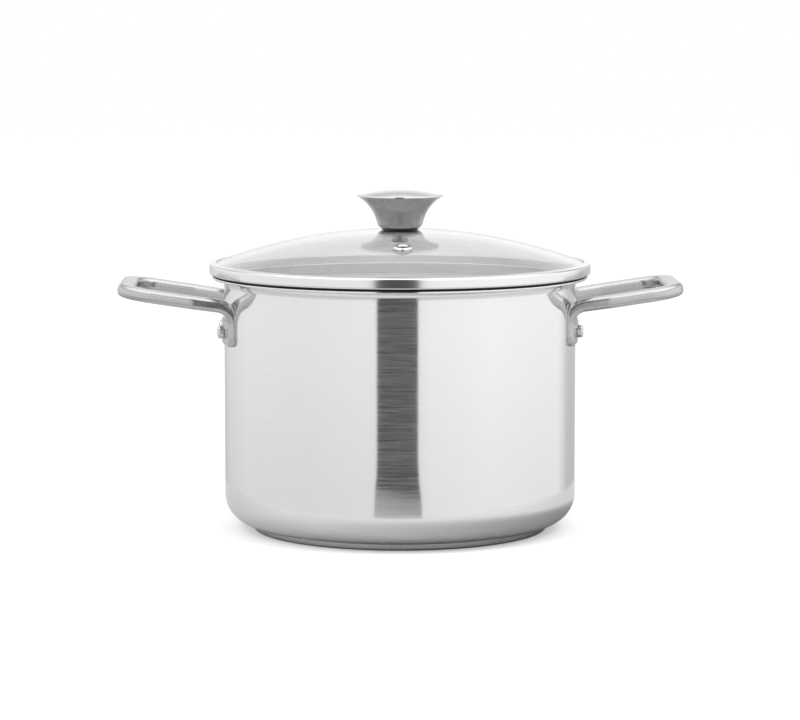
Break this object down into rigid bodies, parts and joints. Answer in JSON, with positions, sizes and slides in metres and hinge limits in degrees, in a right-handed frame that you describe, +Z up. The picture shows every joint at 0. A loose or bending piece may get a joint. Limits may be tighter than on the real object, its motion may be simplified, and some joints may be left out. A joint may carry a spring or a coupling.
{
  "type": "stock pot",
  "caption": "Stainless stock pot with a capsule base, riveted loop handles and a lift-off domed glass lid with a steel rim, steam vent and flared knob.",
  "frame": {"origin": "centre of the face that the pot stands on", "axes": "+Z up along the pot's axis; the two handles lie along X; the lid's steam vent is at the front, at -Y"},
  "size_m": [0.3842, 0.2614, 0.234],
  "materials": {
    "polished_steel": "polished",
    "base_steel": "brushed",
    "handle_steel": "polished",
    "rivet_steel": "satin",
    "knob_steel": "satin",
    "fastener_steel": "satin",
    "aluminium": "matte",
    "brass": "satin",
    "glass": "clear",
    "silicone": "matte",
    "filler": "matte"
  },
  "bodies": {
    "pot": {"pot_shell": "polished_steel", "base_core": "aluminium", "base_cap": "base_steel", "handle_left": "handle_steel", "handle_right": "handle_steel", "rivet_left_front": "rivet_steel", "rivet_left_rear": "rivet_steel", "rivet_right_front": "rivet_steel", "rivet_right_rear": "rivet_steel"},
    "lid": {"lid_glass": "glass", "lid_band": "polished_steel", "band_seal": "silicone", "vent_eyelet": "polished_steel", "vent_washer": "silicone", "knob_body": "knob_steel", "knob_cap": "knob_steel", "knob_core": "filler", "knob_insert": "brass", "knob_gasket": "silicone", "under_gasket": "silicone", "under_washer": "fastener_steel", "lock_washer": "fastener_steel", "knob_screw": "fastener_steel"}
  },
  "joints": [
    {"name": "lid_lift", "type": "slide", "parent": "pot", "child": "lid", "axis": [0, 0, 1], "range_m": [0, 0.2]}
  ]
}
